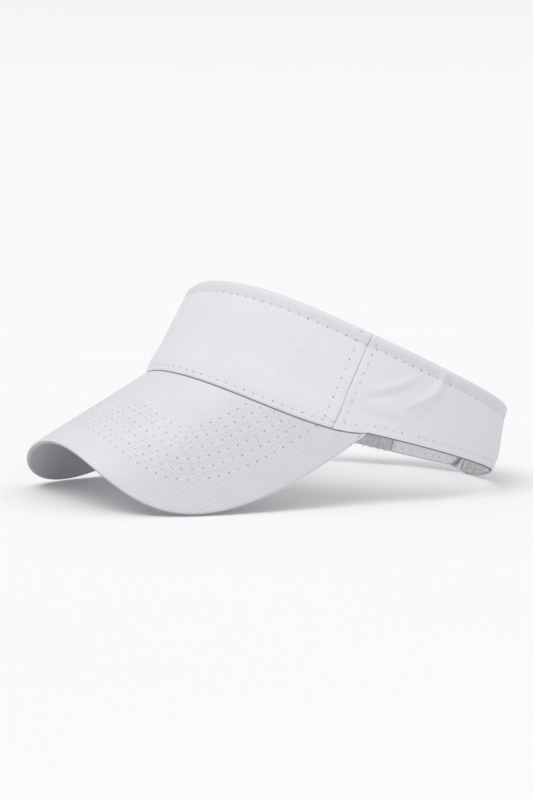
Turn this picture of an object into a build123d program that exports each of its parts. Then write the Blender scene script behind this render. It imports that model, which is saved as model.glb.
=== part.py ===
from build123d import *
import math
import os

# An open-crown sun visor: a soft headband, a curved brim in front of it and a hook-and-loop
# closure at the back. Millimetres and degrees.
# The band is drawn in its own level frame: +X is the wearer's left, +Y the back, +Z up, with
# the origin at the middle of the band's lower edge. Angles run round the band: -90 is the
# front, 0 the wearer's left, 90 the back and 180 the wearer's right.

# Headband: half widths and half lengths of its lower and upper edges, seen from above.
band_half_width = 83.2
band_half_length = 100.2
top_half_width = 82.0
top_half_length = 89.0
top_setback = 7.1
# Height of the upper edge above the band's plane.
front_height = 59.7
side_height = 39.6
back_height = 31.6
# The lower edge dips by this much from the brim's corners to the back.
back_dip = 3.2

# Brim: a slightly tapered curved sheet that slopes down to the front.
brim_radius_x = 81.3
brim_radius_z = 113.8
brim_taper = 0.001
brim_slope = 0.883
brim_reach = 50.9
# Its outline is a cubic curve from the middle of the front edge to each corner.
edge_handle = 0.484
edge_shoulder = 1.149
edge_shoulder_reach = 33.1
brim_corner = -16.5
# From this share of the outline on, the brim narrows to its corner like a fan.
fan_start = 0.77
brim_last = 0.97

# Cloth and the layers behind it.
cloth = 0.6
stiffener = 0.5
tape = 0.5
sweatband_thickness = 1.2
sweatband_height = 27.0
facing_height = 7.0
board = 1.5
brim_cloth = 0.5
layer_gap = 0.05
seat_gap = 0.15
board_margin = 0.9

# Seams, cuts and the closure, as angles round the band.
seam = -27.0
seam_tape_half = 3.6
stiffener_margin = 4.0
left_sweatband_end = 62.0
flap_cut = 88.2
flap_end = 130.5
tail_cut = 193.0
tail_sweatband_end = 133.0
tail_end = 89.6
cut_half = 0.12
seam_clearance = 0.03
# Distances of the hidden layers from the band's edges, and where they stop round the band.
stiffener_edge = 1.0
tape_edge = 0.5
sweatband_edge = 0.4
facing_edge = 0.2
facing_stop = 3.0
lining_edge = 0.3
lining_lap = 1.0
lining_settle_from = 1.0
lining_settle = 12.0
# The right tail runs this far inside the flap, and hangs a little lower at its end.
tail_inset = 3.3
tail_inset_from = 150.0
tail_inset_over = 15.0
tail_dip = 2.0
patch_thickness = 0.8
patch_margin = 7.0
hook_from_cut = 10.0
hook_to_tip = 4.0
loop_past_flap = 5.0
loop_to_tip = 6.0
tip_round = 9.0
tip_round_angle = 7.0
label_angles = (34.0, 44.0)
label_thickness = 0.3
label_low = 3.0
label_top_margin = 4.0

# The wall's sections are on one grid of angles, which has both brim corners on it, so that
# neighbouring layers stay parallel.
station_step = 3.0


def radians(angle):
    return math.radians(angle)


def ease(value):
    """Smooth step from 0 to 1."""
    clamped = min(1.0, max(0.0, value))
    return clamped * clamped * (3.0 - 2.0 * clamped)


def brim_angle_at(x, reach):
    """Angle across the brim of a point x out from the middle."""
    return math.asin(x / (brim_radius_x * (1.0 - brim_taper * reach)))


def lower_plan(angle):
    """Point of the band's lower edge, seen from above."""
    return band_half_width * math.cos(radians(angle)), band_half_length * math.sin(radians(angle))


corner_x, corner_y = lower_plan(brim_corner)
corner_reach = -band_half_length - corner_y
corner_turn = brim_angle_at(corner_x, corner_reach)
brim_top = (brim_radius_z * (1.0 - math.cos(corner_turn)) * (1.0 - brim_taper * corner_reach)
            + corner_reach * brim_slope)


def brim_point(turn, reach):
    """Point of the brim's upper face: turn across it, reach forward of the band."""
    scale = 1.0 - brim_taper * reach
    return Vector(brim_radius_x * math.sin(turn) * scale,
                  -band_half_length - reach,
                  brim_top - brim_radius_z * (1.0 - math.cos(turn)) * scale - brim_slope * reach)


def brim_height(x, y):
    """Height of the brim's upper face at a place seen from above."""
    reach = -band_half_length - y
    return brim_point(brim_angle_at(x, reach), reach).Z


def brim_normal(turn):
    """Upward normal of the brim, the same all along one of its straight lines."""
    middle = brim_point(turn, 0.0)
    across = brim_point(turn + 0.001, 0.0) - brim_point(turn - 0.001, 0.0)
    forward = brim_point(turn, 1.0) - middle
    return forward.cross(across).normalized()


def lower_edge(angle):
    """Point of the band's lower edge: on the brim in front, dipping a little at the back."""
    x, y = lower_plan(angle)
    back = math.sin(radians(angle))
    corner = math.sin(radians(brim_corner))
    if back < corner:
        return Vector(x, y, brim_height(x, y))
    return Vector(x, y, -back_dip * ((back - corner) / (1.0 - corner)) ** 2)


def upper_edge(angle):
    back = math.sin(radians(angle))
    lift = (back_height - front_height) / 2.0
    bow = (back_height + front_height) / 2.0 - side_height
    return Vector(top_half_width * math.cos(radians(angle)), top_setback + top_half_length * back,
                  side_height + lift * back + bow * back * back)


def inward(angle):
    """Level direction from the band's wall towards the head."""
    return Vector(-math.cos(radians(angle)) / band_half_width,
                  -math.sin(radians(angle)) / band_half_length, 0.0).normalized()


def wall_rise(angle):
    return (upper_edge(angle) - lower_edge(angle)).normalized()


def wall_foot(angle, inset):
    """Lowest point of a layer at this inset, just clear of the brim that it stands on."""
    return lower_edge(angle) + inward(angle) * inset + wall_rise(angle) * seat_gap


def wall_head(angle, inset):
    return upper_edge(angle) + inward(angle) * inset


def stations(start, end):
    """Angles of the sections from start to end: both ends and the grid between them."""
    margin = station_step / 3.0
    low, high = min(start, end) + margin, max(start, end) - margin
    first = math.ceil((low - brim_corner) / station_step)
    last = math.floor((high - brim_corner) / station_step)
    between = [brim_corner + station_step * i for i in range(first, last + 1)]
    if end < start:
        between.reverse()
    return [start] + between + [end]


def polygon(points):
    return Wire.make_polygon(points, close=True)


def layer(angles, inset, thickness, low, high):
    """Part of the wall. inset, low and high are functions of the angle: how far inside the
    outer face it lies, and how far its edges are from the band's lower and upper edges."""
    sections = []
    for angle in angles:
        rise = wall_rise(angle)
        outer = inset(angle)
        inner = outer + thickness
        sections.append(polygon([
            wall_foot(angle, outer) + rise * low(angle),
            wall_foot(angle, inner) + rise * low(angle),
            wall_head(angle, inner) - rise * high(angle),
            wall_head(angle, outer) - rise * high(angle)]))
    return Solid.make_loft(sections)


def level(value):
    return lambda angle: value


def wall_height(angle):
    return (wall_head(angle, 0.0) - wall_foot(angle, 0.0)).length


def above_foot(height):
    """Distance below the upper edge of a line that runs at this height above the lower edge."""
    return lambda angle: wall_height(angle) - height


# Insets of the layers, counted from the outer face of the band.
def lining_inset(angle):
    """Behind the cloth; behind the stiffener and the seam tapes as well in front."""
    from_front = abs(angle + 90.0) if angle < 90.0 else abs(270.0 - angle)
    past_tape = from_front - (90.0 + seam + seam_tape_half)
    share = (past_tape - lining_settle_from) / lining_settle
    behind_tape = cloth + 2.0 * layer_gap + tape
    return behind_tape + (layer_gap + cloth - behind_tape) * ease(share)


def tail_path(angle):
    """The right side panel moves inward to pass behind the flap."""
    return tail_inset * ease((tail_inset_from - angle) / tail_inset_over)


def tail_lining_path(angle):
    return tail_path(angle) + lining_inset(angle) + 2.0 * layer_gap


def loop_path(angle):
    """The loop tape lies on the outer face of the right tail."""
    return tail_path(angle) - layer_gap - patch_thickness


def facing_low(angle):
    """Lower edge of the tape that finishes the band's upper edge on the inside."""
    return wall_height(angle) - facing_height


def tail_low(angle):
    return -tail_dip * ease((tail_cut - angle) / (tail_cut - tail_end)) + tip(angle, tail_end)


def tip(angle, end):
    """How far a tail's edges draw in towards its rounded end."""
    along = 1.0 - min(1.0, abs(angle - end) / tip_round_angle)
    return tip_round * (1.0 - math.sqrt(1.0 - along * along))


def flap_tip(angle):
    return tip(angle, flap_end)


def tail_tip(angle):
    return tip(angle, tail_end)


def wall_parts():
    """Every layer of the headband, by node name."""
    front_seam = seam - seam_clearance
    side_seam = seam + seam_clearance
    far_seam = -180.0 - seam
    stiffener_from = far_seam + stiffener_margin
    stiffener_to = seam - stiffener_margin
    behind_cloth = cloth + layer_gap
    parts = {}
    parts["front_panel"] = layer(stations(far_seam + seam_clearance, front_seam),
                                 level(0.0), cloth, level(0.0), level(0.0))
    parts["front_stiffener"] = layer(stations(stiffener_from, stiffener_to),
                                     level(behind_cloth), stiffener,
                                     level(stiffener_edge), level(stiffener_edge))
    parts["left_side_panel"] = layer(stations(side_seam, flap_cut - cut_half),
                                     level(0.0), cloth, level(0.0), level(0.0))
    parts["right_side_panel_front"] = layer(stations(180.0 - side_seam, tail_cut + cut_half),
                                            level(0.0), cloth, level(0.0), level(0.0))
    for name, middle in (("left_seam_tape", seam), ("right_seam_tape", far_seam)):
        parts[name] = layer(stations(middle - seam_tape_half, middle + seam_tape_half),
                            level(behind_cloth), tape, level(tape_edge), level(tape_edge))
    around_front = stations(tail_cut + cut_half - 360.0, left_sweatband_end)
    parts["sweatband"] = layer(around_front, lining_inset, sweatband_thickness,
                               level(sweatband_edge), above_foot(sweatband_height))
    parts["top_facing"] = layer(stations(tail_cut + cut_half - 360.0, flap_cut - facing_stop),
                                lining_inset, tape, facing_low, level(facing_edge))
    parts["care_label"] = layer(stations(*label_angles), label_inset, label_thickness,
                                level(label_low), above_foot(sweatband_height - label_top_margin))
    parts.update(tail_parts())
    parts.update(flap_parts())
    return parts


def label_inset(angle):
    return lining_inset(angle) + sweatband_thickness + layer_gap


def tail_parts():
    """The right side of the band behind the brim's corner, and its tail."""
    start = tail_cut - cut_half
    parts = {}
    parts["right_side_panel"] = layer(tail_stations(start, tail_end), tail_path, cloth,
                                      tail_low, tail_tip)
    parts["right_sweatband"] = layer(stations(start, tail_sweatband_end), tail_lining_path,
                                     sweatband_thickness, lambda a: tail_low(a) + sweatband_edge,
                                     above_foot(sweatband_height))
    parts["right_top_facing"] = layer(stations(start, tail_sweatband_end), tail_lining_path, tape,
                                      facing_low, level(facing_edge))
    parts["right_tail_lining"] = layer(
        tail_stations(tail_sweatband_end - lining_lap, tail_end), tail_lining_path, cloth,
        lambda a: tail_low(a) + lining_edge, lambda a: tail_tip(a) + lining_edge)
    parts["loop_patch"] = layer(
        stations(flap_end - loop_past_flap, tail_end + loop_to_tip), loop_path,
        patch_thickness, level(patch_margin), level(patch_margin))
    return parts


def tail_stations(start, end):
    """Stations of a tail, closer together along its rounded end."""
    side = 1.0 if end > start else -1.0
    round_from = end - side * tip_round_angle
    fine = [end - side * tip_round_angle * s for s in (0.72, 0.46, 0.25, 0.1, 0.02)]
    return stations(start, round_from) + fine


def flap_parts():
    """The left tail: it closes over the right one, and its hooks hold on the loops."""
    start = flap_cut + cut_half
    parts = {}
    parts["flap_panel"] = layer(tail_stations(start, flap_end), level(0.0), cloth,
                                flap_tip, flap_tip)
    parts["flap_lining"] = layer(tail_stations(start + lining_edge, flap_end),
                                 level(cloth + layer_gap), cloth,
                                 lambda a: flap_tip(a) + lining_edge,
                                 lambda a: flap_tip(a) + lining_edge)
    parts["hook_patch"] = layer(stations(flap_cut + hook_from_cut, flap_end - hook_to_tip),
                                level(2.0 * (cloth + layer_gap)), patch_thickness,
                                level(patch_margin), level(patch_margin))
    return parts


def edge_point(share):
    """Point of the brim's outline: its turn and reach. share runs from 0 at the middle of the
    front to 1 at the corner, and is negative on the wearer's right."""
    s = abs(share)
    weights = ((1 - s) ** 3, 3 * s * (1 - s) ** 2, 3 * s * s * (1 - s), s ** 3)
    turns = (0.0, edge_handle * corner_turn, edge_shoulder * corner_turn, corner_turn)
    reaches = (brim_reach, brim_reach, edge_shoulder_reach, corner_reach)
    turn = sum(w * t for w, t in zip(weights, turns))
    reach = sum(w * r for w, r in zip(weights, reaches))
    return math.copysign(turn, share), reach


def root_reach(turn):
    """Where the brim meets the outer face of the band."""
    reach = 0.0
    for _ in range(20):
        across = min(1.0, abs(brim_point(turn, reach).X) / band_half_width)
        reach = band_half_length * (math.sqrt(1.0 - across ** 2) - 1.0)
    return reach


def straight_section(share, margin):
    """Ends and normal of one straight line of the brim, from the band to the outline."""
    turn, reach = edge_point(share)
    return (brim_point(turn, root_reach(turn)), brim_point(turn, reach - margin),
            brim_normal(turn))


fan_turn = edge_point(fan_start)[0]
fan_angle = -math.degrees(math.acos(brim_point(fan_turn, root_reach(fan_turn)).X / band_half_width))


def fan_section(share, margin):
    """The same near the corner, where the lines gather at it."""
    turn, reach = edge_point(share)
    along = (abs(share) - fan_start) / (1.0 - fan_start)
    root = lower_edge(fan_angle + (brim_corner - fan_angle) * along)
    if share < 0.0:
        root = Vector(-root.X, root.Y, root.Z)
    root_turn = brim_angle_at(root.X, -band_half_length - root.Y)
    normal = (brim_normal(root_turn) + brim_normal(turn)).normalized()
    return root, brim_point(turn, reach - margin), normal


def brim_layer(depth, thickness, margin):
    """One layer of the brim, at a depth below its upper face."""
    sections = []
    count = 30
    for i in range(-count, count + 1):
        share = brim_last * i / count
        section = straight_section if abs(share) <= fan_start else fan_section
        root, rim, normal = section(share, margin)
        top, bottom = normal * -depth, normal * -(depth + thickness)
        sections.append(polygon([root + top, rim + top, rim + bottom, root + bottom]))
    return Solid.make_loft(sections)


def brim_parts():
    board_depth = brim_cloth + layer_gap
    under_depth = board_depth + board + layer_gap
    return {"brim_top_cover": brim_layer(0.0, brim_cloth, 0.0),
            "brim_board": brim_layer(board_depth, board, board_margin),
            "brim_under_cover": brim_layer(under_depth, brim_cloth, 0.0)}


def rest_tilt(parts):
    """Angle that brings the lowest points of the brim and of the back to one level."""
    low, high = 0.0, 40.0
    for _ in range(24):
        tilt = (low + high) / 2.0
        brim_low = parts["brim_under_cover"].rotate(Axis.X, -tilt).bounding_box().min.Z
        back_low = parts["right_side_panel"].rotate(Axis.X, -tilt).bounding_box().min.Z
        if back_low > brim_low:
            low = tilt
        else:
            high = tilt
    return tilt


nodes = wall_parts()
nodes.update(brim_parts())
tilt = rest_tilt(nodes)
turned = {name: solid.rotate(Axis.X, -tilt) for name, solid in nodes.items()}
box = Compound(list(turned.values())).bounding_box()
shift = Vector(-(box.min.X + box.max.X) / 2.0, -(box.min.Y + box.max.Y) / 2.0, -box.min.Z)


def at_rest(point):
    """Where a point of the band's own frame lies when the visor rests on a table."""
    return point.rotate(Axis.X, -tilt) + shift


def hinge_line(angle, inset):
    """Head and foot of a fold line across the wall. Cloth turns about it inward or outward."""
    return at_rest(wall_head(angle, inset)), at_rest(wall_foot(angle, inset))


# The flap peels open about a fold in its outer face, and the right tail swings inward about a
# fold in the inner face of its sweatband. Both turn clockwise seen from above.
folds = {
    "closure_peel": hinge_line(flap_cut + cut_half, 0.0),
    "tail_tighten": hinge_line(tail_cut - cut_half,
                               tail_lining_path(tail_cut - cut_half) + sweatband_thickness),
}

os.makedirs("parts", exist_ok=True)
for name, solid in turned.items():
    export_step(solid.translate(shift), "parts/" + name + ".step")
for name, (head, foot) in folds.items():
    print(name, "passes", (head + foot) * 0.5, "axis", (foot - head).normalized())
print("rest tilt", round(tilt, 2), "shift", shift)
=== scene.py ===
import math

import bpy
import numpy as np
from mathutils import Matrix, Vector


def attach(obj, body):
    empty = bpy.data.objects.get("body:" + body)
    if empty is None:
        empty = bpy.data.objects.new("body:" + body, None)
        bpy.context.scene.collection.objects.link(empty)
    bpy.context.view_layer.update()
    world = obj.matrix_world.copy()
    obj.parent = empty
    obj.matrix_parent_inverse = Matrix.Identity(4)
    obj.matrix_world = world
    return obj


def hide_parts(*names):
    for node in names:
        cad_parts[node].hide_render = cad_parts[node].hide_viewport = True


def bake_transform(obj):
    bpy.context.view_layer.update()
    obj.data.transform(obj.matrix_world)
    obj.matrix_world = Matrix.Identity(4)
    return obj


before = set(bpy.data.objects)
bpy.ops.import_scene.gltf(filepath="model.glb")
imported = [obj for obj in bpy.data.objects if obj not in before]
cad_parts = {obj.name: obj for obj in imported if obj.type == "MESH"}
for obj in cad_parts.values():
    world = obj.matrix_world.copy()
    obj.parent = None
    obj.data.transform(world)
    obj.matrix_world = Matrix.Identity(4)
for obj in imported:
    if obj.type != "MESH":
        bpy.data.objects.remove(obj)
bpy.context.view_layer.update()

# ======== Shape ========
# The visor's shape, as in the CAD model: millimetres and degrees, in the band's own level
# frame (+X wearer's left, +Y back, +Z up). Angles run round the band, -90 at the front.
BAND_HALF_WIDTH, BAND_HALF_LENGTH = 83.2, 100.2
TOP_HALF_WIDTH, TOP_HALF_LENGTH, TOP_SETBACK = 82.0, 89.0, 7.1
FRONT_HEIGHT, SIDE_HEIGHT, BACK_HEIGHT, BACK_DIP = 59.7, 39.6, 31.6, 3.2
BRIM_RADIUS_X, BRIM_RADIUS_Z = 81.3, 113.8
BRIM_TAPER, BRIM_SLOPE, BRIM_REACH = 0.001, 0.883, 50.9
EDGE_HANDLE, EDGE_SHOULDER, EDGE_SHOULDER_REACH = 0.484, 1.149, 33.1
BRIM_CORNER = -16.5
CLOTH, STIFFENER, TAPE, SWEATBAND = 0.6, 0.5, 0.5, 1.2
SWEATBAND_HEIGHT, FACING_HEIGHT = 27.0, 7.0
BRIM_THICKNESS, BRIM_CLOTH = 2.6, 0.5
LAYER_GAP, SEAT_GAP = 0.05, 0.15
SEAM, SEAM_TAPE_HALF, STIFFENER_MARGIN = -27.0, 3.6, 4.0
LEFT_SWEATBAND_END, FLAP_CUT, FLAP_END = 62.0, 88.2, 130.5
TAIL_CUT, TAIL_SWEATBAND_END, TAIL_END = 193.0, 133.0, 89.6
TAIL_INSET = 3.3
PATCH_GROUND, PATCH_MARGIN = 0.45, 7.0
TIP_ROUND, TIP_ROUND_ANGLE = 9.0, 7.0
LABEL_ANGLES, LABEL_THICKNESS = (34.0, 44.0), 0.3
# The rest pose: the band's frame is tilted about X and moved by this much.
TILT, SHIFT = 13.83, (0.00129, 27.1553, 27.8927)

MM = 0.001
FRONT_FLARE, BACK_CURL = 2.1, 2.4
# The lower edge rises by this much along the closure's tail and flap, and sags by this much
# on the wearer's left of it.
CLOSURE_RISE, LEFT_SAG = 1.0, 1.9
# Stitches: a thread starts and ends this share of the pitch away from its needle holes.
STITCH_PITCH, THREAD_RADIUS, STITCH_GAP = 5.0, 0.2, 0.13
HOLE_RADIUS, ROW_DIP_WIDTH = 0.55, 0.8
# Heights of the stitch rows: above the brim seam, below the top edge, above the lower hem.
TOPSTITCH, TOP_HEM, LOWER_HEM = 3.0, 6.3, 3.8
# Distances of the stitch rows beside the side seam: on the front panel and behind the seam.
SEAM_ROW_FRONT, SEAM_ROW_SIDE = 5.6, 4.0
# Distance of the stitch row from the rounded end of the flap and of the tail.
END_ROW = 4.5
# Rows of stitches on the sweatband, on the closure's linings, and on seam tapes and the hook
# and loop tapes. Where negative, they are measured from the strip's other edge or end.
BAND_ROWS, LINING_ROWS, PATCH_ROWS = (2.4, -3.4), (2.6, -2.6), (1.3, -1.3)
# Columns of a strip's mesh beside a seam, as distances from it.
SEAM_COLUMNS = (0.12, 0.25, 0.4, 0.6, 0.85, 1.15, 1.5, 2.0, 2.6)
# Stitch rows of the brim: distance of the first from the outline, and from row to row.
BRIM_ROW_FIRST, BRIM_ROW_STEP, BRIM_ROW_COUNT = 15.5, 5.4, 6
# The rows are drawn at this spacing, with their corners rounded over this length.
ROW_SAMPLE, ROW_ROUNDING = 0.5, 9.0
# The brim's covers turn round its rim through these angles, from 0 on top and from 180
# underneath, and meet at its lip.
TOP_TURNS, UNDER_TURNS = np.linspace(0.0, 66.0, 6), np.linspace(180.0, 86.0, 9)
# The quilting fades where the brim is narrower than this.
NARROW = 12.0
# Depth of the threads' middle below the brim's faces, above and below.
TOP_THREAD_DEPTH, UNDER_THREAD_DEPTH = 0.16, 0.14
# Stands for the distance to a stitch row where there is none near.
FAR = 50.0
# Edges between faces that meet at more than this angle are sharp.
SHARP_ANGLE = 50.0
# The hidden face of an outward strip follows this share of its relief.
THROUGH = 0.6


def place(points):
    """From the band's frame in millimetres to the row frame in metres, at rest."""
    cos, sin = math.cos(math.radians(TILT)), math.sin(math.radians(TILT))
    x, y, z = points[..., 0], points[..., 1], points[..., 2]
    turned = np.stack([x, y * cos + z * sin, z * cos - y * sin], axis=-1)
    return (turned + np.array(SHIFT)) * MM


def unit(vectors):
    return vectors / np.linalg.norm(vectors, axis=-1, keepdims=True)


def ease(value):
    """Smooth step from 0 to 1."""
    clamped = np.clip(value, 0.0, 1.0)
    return clamped * clamped * (3.0 - 2.0 * clamped)


def bell(distance, width):
    return np.exp(-(distance / width) ** 2)


def curve(first, knee, last, share):
    """Point of the line from first to last that bends towards knee."""
    return (1 - share) ** 2 * first + 2 * share * (1 - share) * knee + share ** 2 * last


def wrap(values):
    """The values with their first column again at the end, to close round a loop."""
    return np.concatenate([values, values[:, :1]], axis=1)


def run_length(points):
    """Distance along a line of points, from its first one."""
    steps = np.linalg.norm(np.diff(points, axis=0), axis=-1)
    return np.concatenate([[0.0], np.cumsum(steps)])


def brim_scale(reach):
    return 1.0 - BRIM_TAPER * reach


def brim_turn_at(x, reach):
    return np.arcsin(np.clip(x / (BRIM_RADIUS_X * brim_scale(reach)), -1.0, 1.0))


def lower_plan(angle):
    turn = np.radians(angle)
    return BAND_HALF_WIDTH * np.cos(turn), BAND_HALF_LENGTH * np.sin(turn)


CORNER_X, CORNER_Y = lower_plan(BRIM_CORNER)
CORNER_REACH = -BAND_HALF_LENGTH - CORNER_Y
CORNER_TURN = brim_turn_at(CORNER_X, CORNER_REACH)
BRIM_TOP = (BRIM_RADIUS_Z * (1.0 - math.cos(CORNER_TURN)) * brim_scale(CORNER_REACH)
            + CORNER_REACH * BRIM_SLOPE)


def brim_point(turn, reach):
    """Point of the brim's upper face: turn across it, reach forward of the band."""
    scale = brim_scale(reach)
    drop = BRIM_RADIUS_Z * (1.0 - np.cos(turn)) * scale + BRIM_SLOPE * reach
    return np.stack([BRIM_RADIUS_X * np.sin(turn) * scale,
                     -BAND_HALF_LENGTH - reach + 0.0 * turn,
                     BRIM_TOP - drop], axis=-1)


def brim_normal(turn, reach):
    turn_step, reach_step = 0.001, 0.5
    across = brim_point(turn + turn_step, reach) - brim_point(turn - turn_step, reach)
    forward = brim_point(turn, reach + reach_step) - brim_point(turn, reach - reach_step)
    return unit(np.cross(forward, across))


def lower_edge(angle):
    """Lower edge of the band: it stands on the brim in front, and dips a little at the back."""
    x, y = lower_plan(angle)
    back = np.sin(np.radians(angle))
    corner = math.sin(math.radians(BRIM_CORNER))
    reach = -BAND_HALF_LENGTH - y
    on_brim = brim_point(brim_turn_at(x, reach), reach)[..., 2]
    behind = -BACK_DIP * ((back - corner) / (1.0 - corner)) ** 2
    return np.stack([x, y, np.where(back < corner, on_brim, behind)], axis=-1)


def upper_edge(angle):
    side, back = np.cos(np.radians(angle)), np.sin(np.radians(angle))
    lift = (BACK_HEIGHT - FRONT_HEIGHT) / 2.0
    bow = (BACK_HEIGHT + FRONT_HEIGHT) / 2.0 - SIDE_HEIGHT
    return np.stack([TOP_HALF_WIDTH * side, TOP_SETBACK + TOP_HALF_LENGTH * back,
                     SIDE_HEIGHT + lift * back + bow * back * back], axis=-1)


def inward(angle):
    """Level direction from the band's wall towards the head."""
    side, back = np.cos(np.radians(angle)), np.sin(np.radians(angle))
    return unit(np.stack([-side / BAND_HALF_WIDTH, -back / BAND_HALF_LENGTH, 0.0 * side], axis=-1))


def wall_rise(angle):
    return unit(upper_edge(angle) - lower_edge(angle))


def wall_height(angle):
    return np.linalg.norm(upper_edge(angle) - lower_edge(angle), axis=-1) - SEAT_GAP


def off_front(angle):
    """How far round the band an angle is from the front, either way."""
    return np.where(angle < 90.0, np.abs(angle + 90.0), np.abs(270.0 - angle))


def flare(angle, height):
    """Fullness of the cloth against a straight wall: the front panel stands out towards its
    top, and the lower edge curls in towards the head at the back."""
    aside = off_front(angle)
    share = height / wall_height(angle)
    front = FRONT_FLARE * ease((62.0 - aside) / 45.0) * ease(share / 0.9)
    front = front * (1.0 - 0.45 * ease((share - 0.82) / 0.25))
    back = BACK_CURL * ease((aside - 115.0) / 35.0) * bell(np.maximum(height, 0.0), 5.5)
    return front - back


def wall_point(angle, height, depth):
    """Point of the band's wall: height above its foot, depth inside its outer face."""
    foot = lower_edge(angle) + wall_rise(angle) * SEAT_GAP
    moved = depth - flare(angle, height)
    return foot + wall_rise(angle) * height[..., None] + inward(angle) * moved[..., None]


def level(value):
    return lambda angle: value + 0.0 * angle


def top_trim(angle):
    """The front's upper edge is cut a little lower at one side of the middle, and a little
    higher at the other."""
    return 1.5 * bell(angle + 114.0, 17.0) - 0.9 * bell(angle + 62.0, 22.0)


def tip(angle, end):
    """How far a tail's edges draw in towards its rounded end."""
    along = 1.0 - np.clip(np.abs(angle - end) / TIP_ROUND_ANGLE, 0.0, 1.0)
    return TIP_ROUND * (1.0 - np.sqrt(np.clip(1.0 - along * along, 0.0, 1.0)))


def lining_inset(angle):
    """Behind the cloth; behind the stiffener and the seam tapes as well in front."""
    past_tape = off_front(angle) - (90.0 + SEAM + SEAM_TAPE_HALF)
    behind_tape = CLOTH + 2.0 * LAYER_GAP + TAPE
    return behind_tape + (LAYER_GAP + CLOTH - behind_tape) * ease((past_tape - 1.0) / 12.0)


def tail_path(angle):
    return TAIL_INSET * ease((150.0 - angle) / 15.0)


def tail_lining_path(angle):
    return tail_path(angle) + lining_inset(angle) + 2.0 * LAYER_GAP


def closure_low(angle):
    """How far the lower edge of the closure's cloth is above the band's own."""
    rise = CLOSURE_RISE * ease((angle - 90.0) / 9.0) * ease((TAIL_CUT - angle) / 40.0)
    sag = LEFT_SAG * ease((angle - 52.0) / 22.0) * ease((97.0 - angle) / 14.0)
    return rise - sag


def tail_low(angle):
    """How far the right side's lower edge is above the band's own."""
    return closure_low(angle) + tip(angle, TAIL_END)


def wall_less(amount):
    """The wall's height less this amount: one edge of a strip measured from the other."""
    return lambda angle: wall_height(angle) - amount


# ======== Mesh helpers ========
def make_object(name, points, faces, corner_maps):
    """Mesh object from points in the band's frame. corner_maps gives each UV map's values,
    one pair of metres for each corner of each face."""
    mesh = bpy.data.meshes.new(name)
    mesh.from_pydata(place(points).tolist(), [], faces)
    mesh.polygons.foreach_set("use_smooth", [True] * len(mesh.polygons))
    mesh.set_sharp_from_angle(angle=math.radians(SHARP_ANGLE))
    for map_name, values in corner_maps.items():
        layer = mesh.uv_layers.new(name=map_name)
        layer.data.foreach_set("uv", np.asarray(values, dtype=np.float32).ravel())
    obj = bpy.data.objects.new(name, mesh)
    bpy.context.scene.collection.objects.link(obj)
    return obj


def tube(name, rings, maps):
    """Closed tube through rings (columns x loop x 3) with a cap at each end. maps holds UV
    values of shape columns x (loop + 1) x 2, so that a map can close round the loop."""
    columns, loop, _ = rings.shape
    i, j = np.meshgrid(np.arange(columns - 1), np.arange(loop), indexing="ij")
    i, j = i.ravel(), j.ravel()
    after = (j + 1) % loop
    quads = np.stack([i * loop + j, i * loop + after, (i + 1) * loop + after,
                      (i + 1) * loop + j], axis=1)
    wide = loop + 1
    picks = np.stack([i * wide + j, i * wide + j + 1, (i + 1) * wide + j + 1,
                      (i + 1) * wide + j], axis=1)
    first = np.arange(loop)[::-1]
    last = np.arange(loop)
    faces = quads.tolist() + [first.tolist(), ((columns - 1) * loop + last).tolist()]
    picks = np.concatenate([picks.ravel(), first, (columns - 1) * wide + last])
    corner_maps = {key: value.reshape(-1, 2)[picks] for key, value in maps.items()}
    points = rings.reshape(-1, 3)
    if enclosed_volume(points, quads) < 0.0:
        faces, corner_maps = turn_over(faces, corner_maps)
    return make_object(name, points, faces, corner_maps)


def enclosed_volume(points, quads):
    a, b, c, d = (points[quads[:, k]] for k in range(4))
    return np.sum(a * np.cross(b, c)) + np.sum(a * np.cross(c, d))


def turn_over(faces, corner_maps):
    """The same faces seen from their other side."""
    sizes = [len(face) for face in faces]
    starts = np.concatenate([[0], np.cumsum(sizes)[:-1]])
    order = np.concatenate([np.arange(start, start + size)[::-1]
                            for start, size in zip(starts, sizes)])
    turned = {key: value[order] for key, value in corner_maps.items()}
    return [face[::-1] for face in faces], turned


def join_parts(name, parts):
    """One mesh from (points, faces, uv) parts; uv has one pair for each face corner."""
    points, faces, values, offset = [], [], [], 0
    for part_points, part_faces, part_values in parts:
        points.append(part_points)
        faces.extend([[offset + k for k in face] for face in part_faces])
        values.append(part_values)
        offset += len(part_points)
    return make_object(name, np.concatenate(points), faces, {"cloth": np.concatenate(values)})


def interpolate(run, points, at):
    return np.stack([np.interp(at, run, points[:, k]) for k in range(points.shape[1])], axis=-1)


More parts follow.
